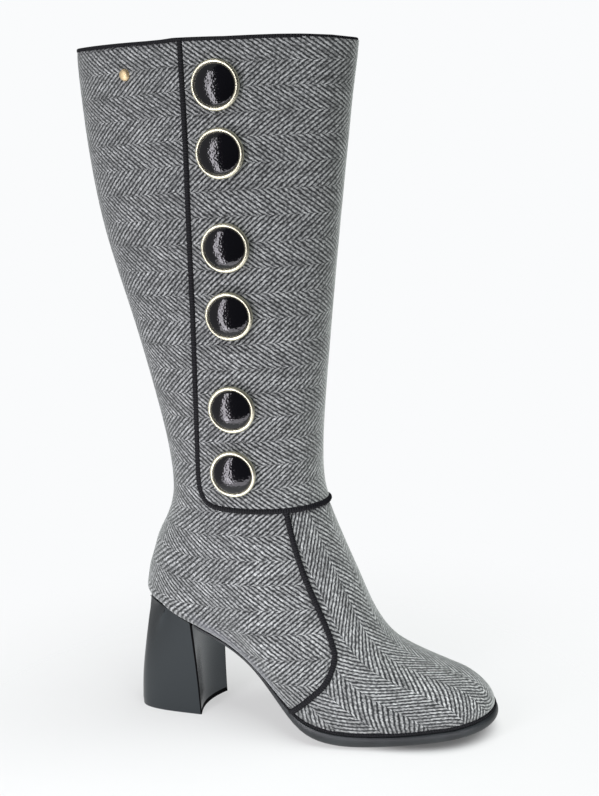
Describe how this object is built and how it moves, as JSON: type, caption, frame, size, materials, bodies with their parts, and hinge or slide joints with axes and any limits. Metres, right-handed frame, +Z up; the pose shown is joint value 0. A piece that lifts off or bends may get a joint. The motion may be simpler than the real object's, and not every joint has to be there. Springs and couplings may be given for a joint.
{
  "type": "tall boot",
  "caption": "Knee-high right boot with a hollow woven upper, a buttoned front panel, corded seams, a thin sole and a flared block heel.",
  "frame": {"origin": "on the floor, on the underside of the heel lift near its middle", "axes": "+Z up along the shaft, +X to the toe, -Y to the outer side of the foot"},
  "size_m": [0.2476, 0.0876, 0.4439],
  "materials": {
    "tweed": "black and white herringbone wool",
    "panel_tweed": "black and white herringbone wool",
    "cord": "ribbed black cord",
    "binding": "woven black tape",
    "gilt": "polished pale gold",
    "button_leather": "crinkled patent",
    "insole_cover": "matt black",
    "sole_rubber": "satin dark grey",
    "heel_cover": "satin black cover",
    "lift_rubber": "matt black"
  },
  "bodies": {
    "root": {"upper": "tweed", "button_panel": "panel_tweed", "panel_piping": "cord", "vamp_piping_outer": "cord", "vamp_piping_inner": "cord", "collar_binding": "binding", "button_rim_1": "gilt", "button_rim_2": "gilt", "button_rim_3": "gilt", "button_rim_4": "gilt", "button_rim_5": "gilt", "button_rim_6": "gilt", "button_dome_1": "button_leather", "button_dome_2": "button_leather", "button_dome_3": "button_leather", "button_dome_4": "button_leather", "button_dome_5": "button_leather", "button_dome_6": "button_leather", "side_stud": "gilt", "insole": "insole_cover", "outsole": "sole_rubber", "heel": "heel_cover", "heel_lift": "lift_rubber"}
  },
  "joints": []
}
